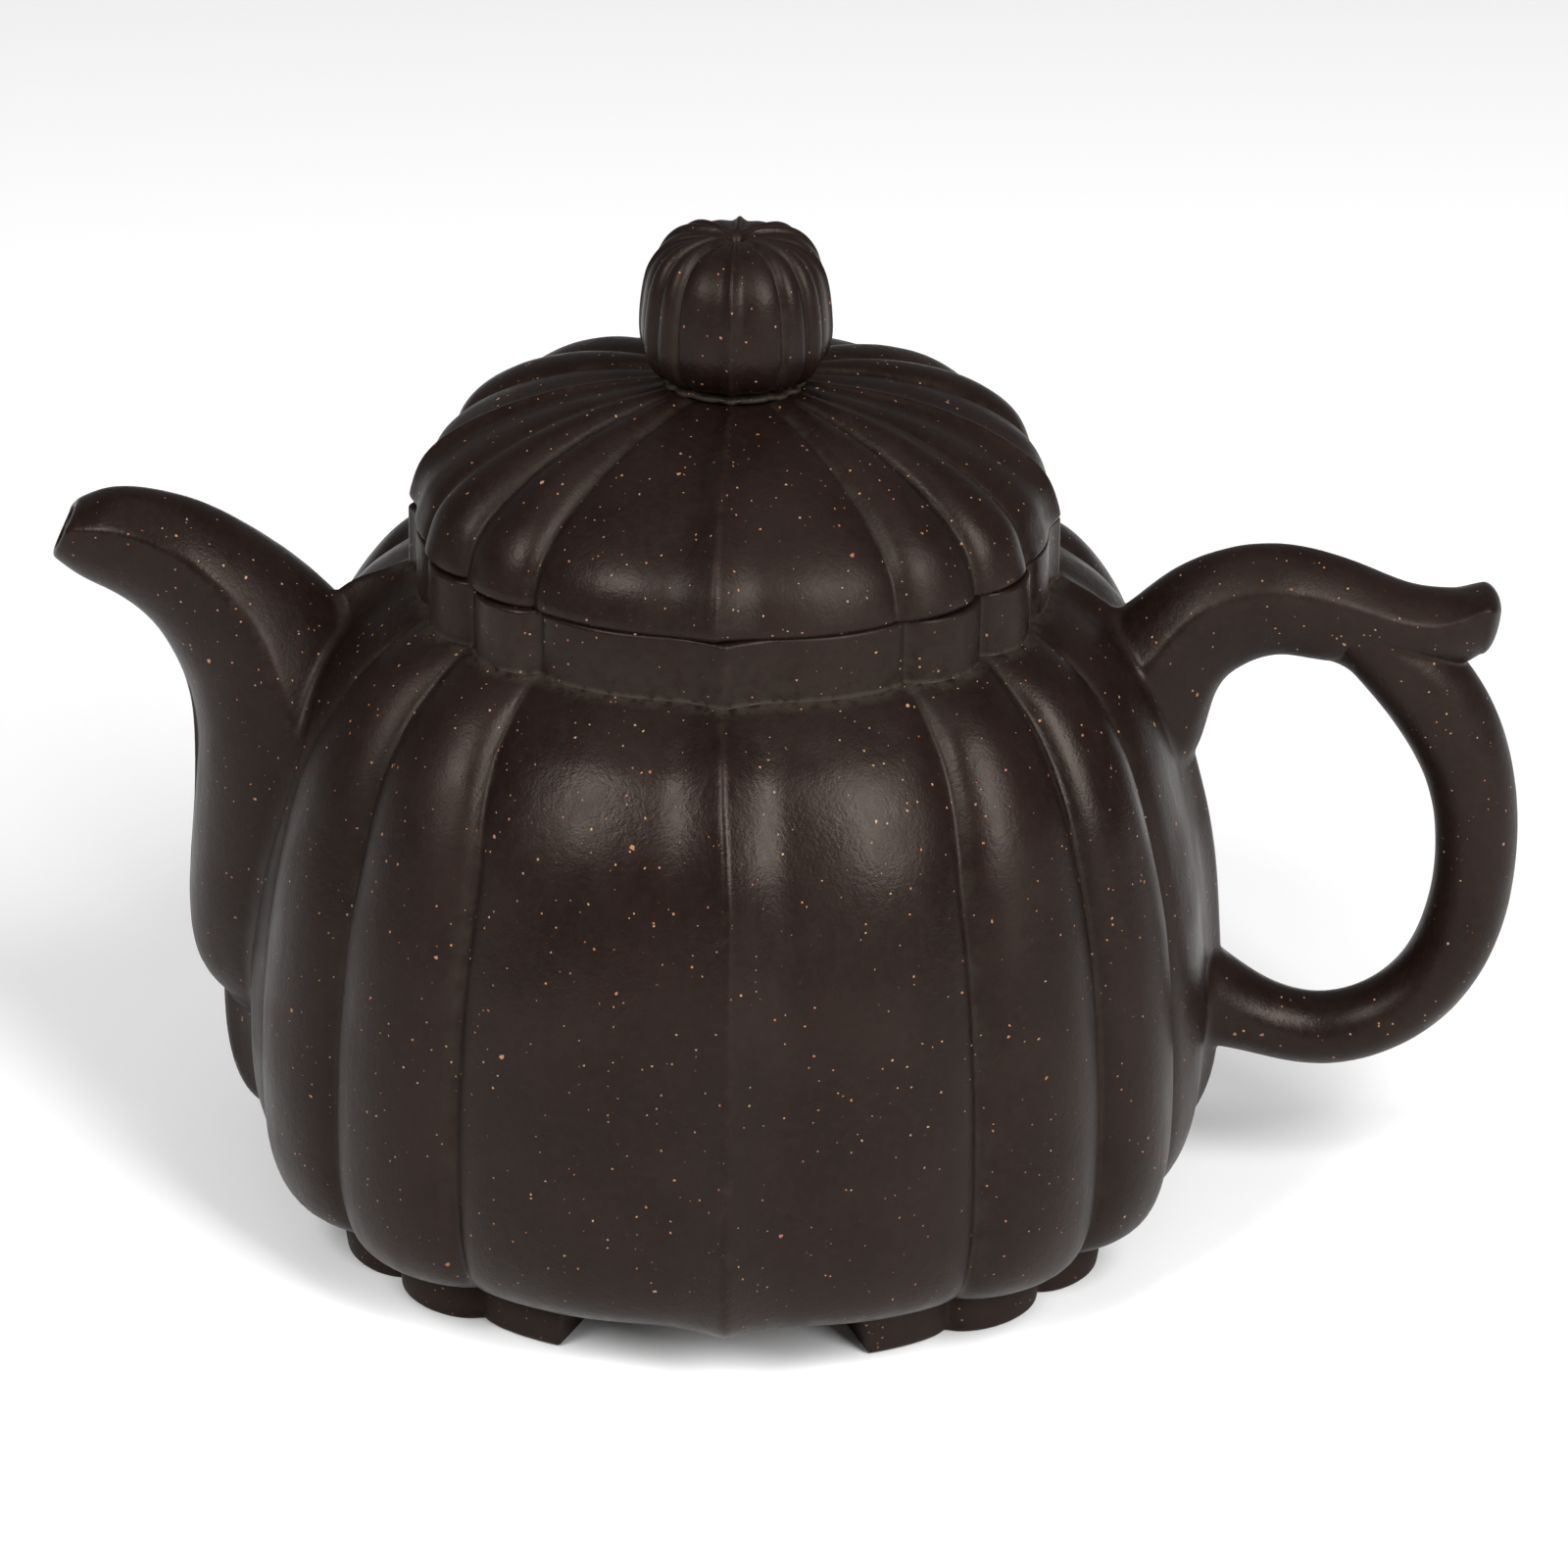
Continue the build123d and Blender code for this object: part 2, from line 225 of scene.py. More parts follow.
# ---------------------------------------------------------------- lines and sections
def flowing(stations):
    """A function of 0 to 1 along a smooth line through the stations."""
    rows = np.array(stations, float)
    gaps = np.linalg.norm(np.diff(rows[:, :2], axis=0), axis=1)
    at = np.concatenate([[0.0], np.cumsum(gaps)])
    count = len(rows)
    system = np.eye(count)
    wanted = np.zeros_like(rows)
    for i in range(1, count - 1):
        system[i, i - 1 : i + 2] = gaps[i - 1], 2 * (gaps[i - 1] + gaps[i]), gaps[i]
        rise_after = (rows[i + 1] - rows[i]) / gaps[i]
        rise_before = (rows[i] - rows[i - 1]) / gaps[i - 1]
        wanted[i] = 6 * (rise_after - rise_before)
    bend = np.linalg.solve(system, wanted)

    def at_share(share):
        distance = share * at[-1]
        i = int(np.clip(np.searchsorted(at, distance) - 1, 0, count - 2))
        gap = gaps[i]
        b = (distance - at[i]) / gap
        a = 1 - b
        curve = ((a**3 - a) * bend[i] + (b**3 - b) * bend[i + 1]) * gap * gap / 6
        return a * rows[i] + b * rows[i + 1] + curve

    return at_share


def line_through(stations, count):
    """Points (radius, height) evenly along a smooth line through the stations."""
    flow = flowing(stations)
    return [tuple(flow(i / (count - 1))) for i in range(count)]


def eased(corners, segments=5):
    """A closed line through corners (radius, height, rounding), each rounded off."""
    line = []
    befores, afters = corners[-1:] + corners[:-1], corners[1:] + corners[:1]
    for before, corner, after in zip(befores, corners, afters):
        here = Vector(corner[:2])
        if not corner[2]:
            line.append(tuple(here))
            continue
        start = here + (Vector(before[:2]) - here).normalized() * corner[2]
        end = here + (Vector(after[:2]) - here).normalized() * corner[2]
        for i in range(segments + 1):
            t = i / segments
            line.append(tuple(start.lerp(here, t).lerp(here.lerp(end, t), t)))
    return line


# ---------------------------------------------------------------- spun pieces
def spun(line, closed=True, angle=360.0, steps=TURN_STEPS, start=0.0):
    """A line of (radius, height) points turned about the pot's axis."""
    bm = bmesh.new()
    turn = Matrix.Rotation(radians(start), 3, "Z")
    verts = [bm.verts.new(turn @ Vector((0.0, -radius, height))) for radius, height in line]
    pairs = list(zip(verts, verts[1:]))
    if closed:
        pairs.append((verts[-1], verts[0]))
    edges = [bm.edges.new(pair) for pair in pairs]
    bmesh.ops.spin(
        bm, geom=verts + edges, cent=(0, 0, 0), axis=(0, 0, 1), dvec=(0, 0, 0),
        angle=radians(angle), steps=steps, use_merge=angle == 360.0,
    )
    bmesh.ops.remove_doubles(bm, verts=bm.verts, dist=MERGE)
    bmesh.ops.recalc_face_normals(bm, faces=bm.faces)
    return bm


def crest_of(line, shape_push):
    """Crest points with the direction and the strength of the petals' press there."""
    crest = []
    for i, (radius, height) in enumerate(line):
        before = Vector(line[max(i - 1, 0)])
        after = Vector(line[min(i + 1, len(line) - 1)])
        run = (after - before).normalized()
        outward = Vector((run.y, -run.x))
        if outward.x < 0 and outward.y < 0:
            outward = -outward
        crest.append((Vector((radius, height)), shape_push(radius, height, outward)))
    return crest


def neck_marks(height):
    """The neck's and the lid's grooves run straight up."""
    return NECK_MARKS


def press_petals(bm, crest, softness=0.45, hold=None, marks=neck_marks, table=EVEN_TABLE):
    """Presses the petals into a spun piece.  hold gives 0 where a point stays round, and
    marks the angles of the grooves and ridges at a height.  The press at each ring of
    points is that of the nearest crest point, so inside and outside move together."""
    groove = bm.verts.layers.float.new("groove")
    ridge = bm.verts.layers.float.new("ridge")
    places = np.array([vert.co for vert in bm.verts])
    radii = np.maximum(np.hypot(places[:, 0], places[:, 1]), 0.3)
    angles = np.degrees(np.arctan2(places[:, 0], -places[:, 1]))
    rounded = np.round(np.stack([radii, places[:, 2]], 1), 3)
    rings, ring_of = np.unique(rounded, axis=0, return_inverse=True)
    pushes = np.zeros((len(rings), 2))
    even = np.zeros_like(angles)
    ring_of = ring_of.ravel()
    order = np.argsort(ring_of, kind="stable")
    starts = np.searchsorted(ring_of[order], np.arange(1, len(rings)))
    for i, members in enumerate(np.split(order, starts)):
        radius, height = rings[i]
        point = Vector((radius, height))
        push = min(crest, key=lambda c: (c[0] - point).length_squared)[1]
        pushes[i] = push * (hold(radius, height) if hold else 1.0)
        even[members] = np.interp(angles[members], marks(height), MARKS)
    push = pushes[ring_of]
    depth = 1 - petal_ratio(table, even, np.degrees(softness / radii))
    scale = np.maximum(radii - depth * push[:, 0], 0.2) / radii
    places[:, :2] *= scale[:, None]
    places[:, 2] -= depth * push[:, 1]
    pressed = np.minimum(np.hypot(push[:, 0], push[:, 1]) / 8, 1)
    span = np.radians(near(even, True)) * radii
    grooves = np.exp(-((span / (0.35 + 0.012 * radii)) ** 2)) * pressed
    span = np.radians(near(even, False)) * radii
    ridges = np.exp(-((span / 0.7) ** 2)) * pressed
    for vert, place, groove_here, ridge_here in zip(bm.verts, places, grooves, ridges):
        vert.co = place
        vert[groove] = groove_here
        vert[ridge] = ridge_here


def hand_worked(bm, amount=0.07, size=13.0, keep=None):
    """A slight unevenness, as left by the maker's fingers and burnishing tool."""
    bm.normal_update()
    moves = []
    for vert in bm.verts:
        fine_place = vert.co / (size * 0.4) + Vector((7, 3, 5))
        wave = noise.noise(vert.co / size) + 0.5 * noise.noise(fine_place)
        moves.append(vert.normal * (wave * amount * (keep(vert.co) if keep else 1.0)))
    for vert, move in zip(bm.verts, moves):
        vert.co += move


def mark(bm, layer_name, strength):
    """Adds a layer that the clay reads, with strength(co) at each point."""
    layer = bm.verts.layers.float.new(layer_name)
    for vert in bm.verts:
        vert[layer] = strength(vert.co)


# ---------------------------------------------------------------- drawn-out pieces
def tube(around, rows, place):
    """A sheet wrapped into a tube.  place(u, row) gives each point and how rubbed it is;
    the seam is closed."""
    bm = bmesh.new()
    bmesh.ops.create_grid(bm, x_segments=around, y_segments=rows - 1, size=1.0)
    layer = bm.verts.layers.float.new("ridge")
    for vert in bm.verts:
        u = (vert.co.x + 1) / 2
        row = round((vert.co.y + 1) / 2 * (rows - 1))
        vert.co, vert[layer] = place(u, row)
    bmesh.ops.remove_doubles(bm, verts=bm.verts, dist=MERGE)
    return bm


def closed_up(bm):
    """Fills what is left open and turns every face outwards."""
    edges = [edge for edge in bm.edges if edge.is_boundary]
    if edges:
        bmesh.ops.holes_fill(bm, edges=edges, sides=0)
    bmesh.ops.recalc_face_normals(bm, faces=bm.faces)
    return bm


def shield_corner(half_width, height, u, arris_share):
    """A point (across, up) of the sharp shield outline: its underside is half an ellipse,
    and its roof one curve from eave to eave whose crown is at the height."""
    arris = arris_share * height
    u = u % 1.0
    if u < LOWER_SHARE:
        turn = pi + pi * u / LOWER_SHARE
        return Vector((half_width * cos(turn), arris + arris * sin(turn)))
    t = (u - LOWER_SHARE) / (1 - LOWER_SHARE)
    crown = arris + (height - arris) / 0.75
    eave = Vector((half_width, arris))
    high = Vector((half_width * ROOF_SPREAD, crown))
    far_high, far_eave = Vector((-high.x, crown)), Vector((-half_width, arris))
    near_half = eave * (1 - t) ** 3 + high * (3 * t * (1 - t) ** 2)
    return near_half + far_high * (3 * t * t * (1 - t)) + far_eave * t**3


def shield_point(station, u, inset=0.0, softness=0.012, arris_share=ARRIS):
    """A point of the shield section at a station, with its arrises softened."""
    top = Vector((station[0], 0, station[1]))
    bottom = Vector((station[2], 0, station[3]))
    up = (top - bottom).normalized()
    height = (top - bottom).length - 2 * inset
    half_width = station[4] - inset
    flat = Vector((0.0, 0.0))
    weights = (1, 2, 3, 2, 1)
    for i, weight in enumerate(weights):
        beside = u + softness * (i - 2) / 2
        flat += shield_corner(half_width, height, beside, arris_share) * weight
    flat /= sum(weights)
    return bottom + up * (flat.y + inset) + Vector((0, flat.x, 0))


def arris_wear(u):
    """1 on the two arrises of the shield section, falling off to each side."""
    away = min(abs(u - mark) for mark in (0.0, LOWER_SHARE, 1.0))
    return exp(-((away / 0.022) ** 2))


def ring_point(flow, share, u):
    """A point of the handle ring's section at a share of its length."""
    here = flow(share)
    ahead = flow(min(share + 0.01, 1.0)) - flow(max(share - 0.01, 0.0))
    out = Vector((ahead[1], 0, -ahead[0])).normalized()
    turn = 2 * pi * u
    middle = Vector((here[0], 0, here[1]))
    return middle + out * (here[2] * cos(turn)) + Vector((0, here[3] * sin(turn), 0))


def height_over(tree, point):
    """Signed height over a surface, with the nearest point and its normal."""
    place, normal, _, _ = tree.find_nearest(point)
    return (point - place).dot(normal), place, normal


def meeting(tree, line, share, step, wanted=0.0):
    """Where a line of a piece, followed by steps, comes down to a wanted height."""
    last = share
    while 0.0 <= share <= 1.0:
        if height_over(tree, line(share))[0] < wanted:
            break
        last, share = share, share + step
    for _ in range(14):
        middle = (last + share) / 2
        if height_over(tree, line(middle))[0] < wanted:
            share = middle
        else:
            last = middle
    return (last + share) / 2


def luted(tree, surface, u, free, step, count, lift, foot, rows=8, sunk=0.7):
    """Points down one line of a piece: its own free length, then the slip that curves
    out onto the surface below, and a last point sunk into it.  lift is how far up the
    piece the slip starts and foot how far out it ends; both shrink on a line that
    comes in along the surface."""

    def line(share):
        return surface(u, share)

    crossing_share = meeting(tree, line, free, step)
    crossing = line(crossing_share)
    _, place, normal = height_over(tree, crossing)
    across = surface(u + 0.004, crossing_share) - surface(u - 0.004, crossing_share)
    along = line(crossing_share + 0.004) - line(crossing_share - 0.004)
    side = across.cross(along)
    if side.dot(crossing - surface(u + 0.5, crossing_share)) < 0:
        side = -side
    side.normalize()
    grazing = 1 - smoothstep(0.55, 0.95, abs(side.dot(normal)))
    lift_share = meeting(tree, line, free, step, lift * grazing + 0.03)
    outward = (side - normal * side.dot(normal)).normalized()
    _, toe, toe_normal = height_over(tree, place + outward * (foot * grazing + 0.02))
    toe = toe - toe_normal * 0.06
    lifted = line(lift_share)
    points = [line(free + (lift_share - free) * i / count) for i in range(count)]
    for i in range(rows + 1):
        t = i / rows
        points.append(lifted.lerp(crossing, t).lerp(crossing.lerp(toe, t), t))
    points.append(toe - toe_normal * sunk)
    return points


# ---------------------------------------------------------------- clay
# grog grains: (cells per metre, share of cells, size, seed)
GRAINS = (
    (1800.0, 0.10, 0.22, 0.3),
    (900.0, 0.022, 0.20, 2.7),
    (430.0, 0.005, 0.14, 1.9),
)
GRAIN_RED = (0.24, 0.085, 0.036)
GRAIN_TAN = (0.33, 0.20, 0.11)
GROOVE_DUST = (0.034, 0.030, 0.022)
JOINT_DUST = (0.06, 0.052, 0.038)
RUBBED_EDGE = (0.045, 0.025, 0.018)


def clay(name, shade, gloss, specks=1.0, burnish=1.0):
    """Dark stoneware clay: mottled, speckled with grog, dusty in its grooves and rubbed
    at its edges.  shade is its dark and light colour, and gloss its roughness where it
    is well and less well burnished."""
    material = bpy.data.materials.new(name)
    material.use_nodes = True
    tree = material.node_tree
    tree.nodes.clear()
    links = tree.links

    def node(kind, **values):
        made = tree.nodes.new(kind)
        for key, value in values.items():
            if hasattr(made, key):
                setattr(made, key, value)
            else:
                made.inputs[key.replace("_", " ").title()].default_value = value
        return made

    def number(operation, first, second, clamp=False):
        made = tree.nodes.new("ShaderNodeMath")
        made.operation = operation
        made.use_clamp = clamp
        for socket, value in zip(made.inputs, (first, second)):
            if isinstance(value, (int, float)):
                socket.default_value = value
            else:
                links.new(value, socket)
        return made.outputs[0]

    def ranged(value, low, high, to_low=0.0, to_high=1.0):
        made = tree.nodes.new("ShaderNodeMapRange")
        made.interpolation_type = "SMOOTHSTEP"
        links.new(value, made.inputs["Value"])
        for socket, level in zip(made.inputs[1:5], (low, high, to_low, to_high)):
            socket.default_value = level
        return made.outputs["Result"]

    def blended(share, first, second):
        made = tree.nodes.new("ShaderNodeMix")
        made.data_type = "RGBA"
        if isinstance(share, float):
            made.inputs[0].default_value = share
        else:
            links.new(share, made.inputs[0])
        for socket, value in ((made.inputs[6], first), (made.inputs[7], second)):
            if isinstance(value, tuple):
                socket.default_value = (*value, 1.0)
            else:
                links.new(value, socket)
        return made.outputs[2]

    def grain(scale, detail=2.0, roughness=0.5, stretch=None, distortion=0.0):
        made = node("ShaderNodeTexNoise", scale=scale, detail=detail, roughness=roughness)
        made.inputs["Distortion"].default_value = distortion
        source = coordinates
        if stretch:
            mapping = tree.nodes.new("ShaderNodeMapping")
            mapping.inputs["Scale"].default_value = stretch
            links.new(coordinates, mapping.inputs["Vector"])
            source = mapping.outputs[0]
        links.new(source, made.inputs["Vector"])
        return made.outputs["Fac"]

    def layer(attribute):
        made = tree.nodes.new("ShaderNodeAttribute")
        made.attribute_name = attribute
        return made.outputs["Fac"]

    coordinates = tree.nodes.new("ShaderNodeTexCoord").outputs["Object"]
    mottle = ranged(grain(70.0, 4.0, 0.6), 0.32, 0.7)
    fine = grain(900.0, 3.0, 0.65)
    streaks = grain(420.0, 2.0, 0.6, stretch=(1.0, 1.0, 0.12))
    patches = ranged(grain(38.0, 3.0, 0.55), 0.35, 0.68)
    crowds = ranged(grain(120.0, 1.0, 0.5), 0.66, 0.78)

    dark, light = shade
    colour = blended(mottle, dark, light)
    bright = tuple(c * 1.45 for c in light)
    colour = blended(ranged(fine, 0.35, 0.75, 0.0, 0.35), colour, bright)

    def flecks(scale, share, size, seed):
        """Grog grains: a chosen few cells of a fine cell pattern, each with its own size."""
        drift = tree.nodes.new("ShaderNodeMapping")
        drift.inputs["Location"].default_value = (seed, seed * 0.7, seed * 1.3)
        bend = node("ShaderNodeTexNoise", scale=scale * 1.6, detail=2.0, roughness=0.6)
        links.new(coordinates, bend.inputs["Vector"])
        shifted = tree.nodes.new("ShaderNodeVectorMath")
        shifted.operation = "MULTIPLY_ADD"
        links.new(bend.outputs["Color"], shifted.inputs[0])
        shifted.inputs[1].default_value = (0.55 / scale,) * 3
        links.new(coordinates, shifted.inputs[2])
        links.new(shifted.outputs[0], drift.inputs["Vector"])
        cells = node("ShaderNodeTexVoronoi", scale=scale)
        links.new(drift.outputs[0], cells.inputs["Vector"])
        parts = tree.nodes.new("ShaderNodeSeparateColor")
        links.new(cells.outputs["Color"], parts.inputs[0])
        chance = number("ADD", parts.outputs[0], number("MULTIPLY", crowds, 0.13))
        chosen = number("GREATER_THAN", chance, 1.0 - share)
        reach = number("MULTIPLY_ADD", parts.outputs[1], size)
        reach.node.inputs[2].default_value = size * 0.35
        inside = number("SUBTRACT", reach, cells.outputs["Distance"])
        spot = ranged(inside, 0.0, size * 0.3)
        return number("MULTIPLY", spot, chosen), parts.outputs[2]

    for scale, share, size, seed in GRAINS:
        spot, hue = flecks(scale, share * specks, size, seed)
        tint = blended(hue, GRAIN_RED, GRAIN_TAN)
        colour = blended(number("MULTIPLY", spot, 0.85), colour, tint)

    dust_break = ranged(grain(260.0, 4.0, 0.7), 0.38, 0.66)
    dust = number("MULTIPLY", layer("groove"), dust_break)
    colour = blended(number("MULTIPLY", dust, 0.2), colour, GROOVE_DUST)
    settled = number("MULTIPLY", layer("dust"), ranged(grain(700.0, 3.0, 0.7), 0.3, 0.6))
    colour = blended(number("MULTIPLY", settled, 0.3), colour, JOINT_DUST)
    rub_break = ranged(grain(330.0, 4.0, 0.75), 0.5, 0.72)
    rub = number("MULTIPLY", layer("ridge"), rub_break)
    colour = blended(number("MULTIPLY", rub, 0.25), colour, RUBBED_EDGE)

    low_gloss, high_gloss = gloss
    rough = ranged(patches, 0.0, 1.0, low_gloss, high_gloss)
    rough = number("ADD", rough, ranged(streaks, 0.3, 0.7, -0.035 * burnish, 0.035 * burnish))
    rough = number("ADD", rough, number("MULTIPLY", settled, 0.35))
    rough = number("ADD", rough, number("MULTIPLY", dust, 0.15), clamp=True)

    relief = number("MULTIPLY", fine, 0.5)
    relief = number("ADD", relief, number("MULTIPLY", streaks, 0.35 * burnish))
    relief = number("ADD", relief, number("MULTIPLY", grain(2600.0, 2.0, 0.6), 0.35))
    bump = tree.nodes.new("ShaderNodeBump")
    bump.inputs["Strength"].default_value = 0.5
    bump.inputs["Distance"].default_value = 0.00018
    links.new(relief, bump.inputs["Height"])

    shader = tree.nodes.new("ShaderNodeBsdfPrincipled")
    shader.inputs["IOR"].default_value = 1.5
    shader.inputs["Specular IOR Level"].default_value = 0.15
    shader.inputs["Specular Tint"].default_value = (1.0, 0.86, 0.76, 1.0)
    links.new(colour, shader.inputs["Base Color"])
    links.new(rough, shader.inputs["Roughness"])
    links.new(bump.outputs[0], shader.inputs["Normal"])
    output = tree.nodes.new("ShaderNodeOutputMaterial")
    links.new(shader.outputs[0], output.inputs["Surface"])
    return material


def finished(name, bm, body, node, material):
    """Scales a shape to metres and puts it on its body in place of its CAD node."""
    for layer_name in ("groove", "ridge", "dust"):
        if layer_name not in bm.verts.layers.float:
            bm.verts.layers.float.new(layer_name)
    bmesh.ops.scale(bm, vec=(MM, MM, MM), verts=bm.verts)
    for face in bm.faces:
        face.smooth = True
    mesh = bpy.data.meshes.new(name)
    bm.to_mesh(mesh)
    bm.free()
    mesh.materials.append(material)
    piece = bpy.data.objects.new(name, mesh)
    bpy.context.scene.collection.objects.link(piece)
    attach(piece, body)
    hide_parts(node)
    return piece


BURNISHED = clay(
    "burnished_clay",
    shade=((0.0056, 0.0027, 0.0021), (0.0092, 0.0048, 0.0038)),
    gloss=(0.31, 0.45),
)
RAW = clay(
    "raw_clay",
    shade=((0.0085, 0.0044, 0.0034), (0.0130, 0.0072, 0.0056)),
    gloss=(0.55, 0.70), specks=1.2, burnish=0.3,
)

# ---------------------------------------------------------------- pot: body
body_line = line_through(BODY_PROFILE, 96)


def body_push(radius, height, outward):
    """Square to the wall and shoulder, but level at the neck and at the bottom edge."""
    lean = smoothstep(39.3, 45.5, radius) if height > 60 else smoothstep(10.0, 17.0, height)
    return Vector((1 - lean + lean * outward.x, lean * outward.y)) * radius


body_crest = crest_of(body_line, body_push)


def body_marks(height):
    """The body's grooves, which run over the shoulder into the neck's."""
    share = smoothstep(80.0, 60.0, height)
    return np.array(NECK_MARKS) * (1 - share) + np.array(BODY_MARKS) * share


body_petals = {"marks": body_marks, "table": BODY_TABLE}


def open_wall(co):
    """0 by the neck and under the pot, where pieces meet, and 1 on the open wall."""
    return smoothstep(79.6, 76.0, co.z) * smoothstep(6.6, 10.0, co.z)


cavity_line = [
    (46.2, 72.9), (49.9, 66.0), (52.9, 57.0), (55.0, 48.0), (56.3, 38.0), (56.9, 28.0),
    (56.8, 19.0), (55.7, 12.5), (53.3, BASE_TOP),
]
wall_line = [(50.0, BASE_BOTTOM)] + body_line
wall_line += [(36.2, NECK_BOTTOM), (36.2, 78.2), (44.9, 75.4), (47.6, 72.9)] + cavity_line
wall_line += [(56.3, BASE_TOP), (55.6, 9.0), (52.8, 7.9), (50.0, 7.9)]
wall = spun(wall_line)
press_petals(wall, body_crest, **body_petals)
hand_worked(wall, 0.09, 15.0, open_wall)
NECK_SEAM_RADIUS = 41
mark(wall, "dust", lambda co: (
    exp(-(((co.z - NECK_BOTTOM) / 0.45) ** 2)) * (hypot(co.x, co.y) < NECK_SEAM_RADIUS)
))
body_tree = BVHTree.FromBMesh(wall)
finished("pot_wall", wall, "pot", "body_wall", BURNISHED)

base = spun(
    [
        (0, BASE_TOP), (53.3, BASE_TOP), (56.2, BASE_TOP), (55.5, 9.05), (52.75, 7.95),
        (50.05, 7.95), (49.9, 7.9), (49.9, 6.45), (0, 6.45),
    ],
    closed=False,
)
press_petals(
    base, body_crest, hold=lambda radius, height: smoothstep(40.0, 49.0, radius), **body_petals,
)
finished("pot_base", base, "pot", "base_plate", RAW)

shoulder = spun([
    (MOUTH_RADIUS, NECK_BOTTOM), (36.1, NECK_BOTTOM), (36.1, 78.25), (44.8, 75.45),
    (47.5, 73.0), (46.3, 73.0), (36.0, 76.6), (MOUTH_RADIUS, 76.6),
])
press_petals(
    shoulder, body_crest, hold=lambda radius, height: smoothstep(33.6, 36.0, radius),
    **body_petals,
)
finished("pot_shoulder", shoulder, "pot", "shoulder", BURNISHED)

# ---------------------------------------------------------------- pot: neck and feet
neck = spun(eased([
    (MOUTH_RADIUS, 79.3, 0), (MOUTH_RADIUS, NECK_TOP, 0.7), (NECK_RADIUS, NECK_TOP, 0.5),
    (NECK_RADIUS, NECK_BOTTOM, 0.5), (39.7, 79.3, 0),
]))
neck_crest = [(Vector((NECK_RADIUS, 84.0)), Vector((NECK_RADIUS, 0.0)))]
press_petals(neck, neck_crest, 0.4, hold=lambda radius, height: smoothstep(34.4, 37.6, radius))
mark(neck, "dust", lambda co: exp(-(((co.z - NECK_BOTTOM) / 0.5) ** 2)))
hand_worked(neck, 0.05, 9.0, lambda co: smoothstep(80.0, 82.0, co.z))
finished("neck_ring", neck, "pot", "neck_collar", BURNISHED)

foot_crest = [(Vector((51.0, 3.0)), Vector((51.0, 0.0)))]
for foot_name, corner in FEET:
    foot = spun(
        eased([
            (FOOT_INSIDE, 0, 0.9), (FOOT_SOLE_RADIUS, 0, 0.9),
            (FOOT_ROOT_RADIUS, FOOT_HEIGHT, 0), (FOOT_INSIDE, FOOT_HEIGHT, 0),
        ]),
        angle=FOOT_SPAN, steps=90, start=corner - FOOT_SPAN / 2,
    )
    press_petals(foot, foot_crest, hold=lambda radius, height: smoothstep(43.0, 48.0, radius))
    open_edges = [edge for edge in foot.edges if edge.is_boundary]
    ends = bmesh.ops.holes_fill(foot, edges=open_edges, sides=0)["faces"]
    rims = list({
        edge for face in ends for edge in face.edges if max(v.co.z for v in edge.verts) < 7.0
    })
    middle = Matrix.Rotation(radians(corner), 3, "Z") @ Vector((0, -1, 0))
    for vert in foot.verts:
        angle = degrees(middle.cross(vert.co).z / hypot(vert.co.x, vert.co.y))
        taper = FOOT_TAPER * (1 - vert.co.z / FOOT_HEIGHT) * angle / (FOOT_SPAN / 2)
        vert.co.rotate(Matrix.Rotation(radians(-taper), 3, "Z"))
    bmesh.ops.bevel(
        foot, geom=rims, offset=0.6, segments=4, profile=0.5, affect="EDGES", material=-1,
    )
    bmesh.ops.recalc_face_normals(foot, faces=foot.faces)
    hand_worked(foot, 0.1, 6.0, lambda co: smoothstep(6.4, 4.0, co.z) * smoothstep(0.2, 1.4, co.z))
    finished(foot_name + "_shaped", foot, "pot", foot_name, RAW)

# ---------------------------------------------------------------- pot: spout
spout_flow = flowing(SPOUT_STATIONS)


def spout_outside(u, share):
    return shield_point(spout_flow(share), u, softness=0.012)


def spout_inside(u, share):
    station = spout_flow(share)
    return shield_point(station, u, inset=station[5], softness=0.05)


def spout_line(u):
    """One line of the spout: up its channel, round the lip and down its outside.  The
    slip is smaller under the spout."""
    low = 0.5 + 0.5 * cos(2 * pi * (u - LOWER_SHARE / 2))
    lift, foot = 1.5 - 0.7 * low**6, 1.9 - 0.9 * low**6
    outside = luted(body_tree, spout_outside, u, MOUTH_SHARE, 0.02, 84, lift, foot)
    root = meeting(body_tree, lambda share: spout_inside(u, share), MOUTH_SHARE, 0.02, -0.6)
    inside = [
        spout_inside(u, root + (MOUTH_SHARE - root) * i / CHANNEL_ROWS)
        for i in range(CHANNEL_ROWS + 1)
    ]
    first, last = inside[-1], outside[0]
    centre = (first + last) / 2
    forward = (outside[0] - outside[1]).normalized()
    lip = []
    for i in range(1, LIP_ROWS):
        turn = pi * i / LIP_ROWS
        bulge = sin(turn) * (first - last).length / 2
        lip.append(centre + (first - centre) * cos(turn) + forward * bulge)
    return inside + lip + outside


spout_lines = [spout_line(i / SPOUT_AROUND) for i in range(SPOUT_AROUND)]
spout_rows = len(spout_lines[0])


def spout_place(u, row):
    """The first row comes again as the last, so the wall closes on itself in the pot."""
    line = spout_lines[round(u * SPOUT_AROUND) % SPOUT_AROUND]
    return line[row % spout_rows], arris_wear(u) * (row > CHANNEL_ROWS + LIP_ROWS)


spout = tube(SPOUT_AROUND, spout_rows + 1, spout_place)
bmesh.ops.recalc_face_normals(spout, faces=spout.faces)
hand_worked(spout, 0.08, 9.0)
finished("spout_shell", spout, "pot", "spout", BURNISHED)

# ---------------------------------------------------------------- pot: handle
strap_flow = flowing(STRAP_STATIONS)
loop_flow = flowing(LOOP_STATIONS)


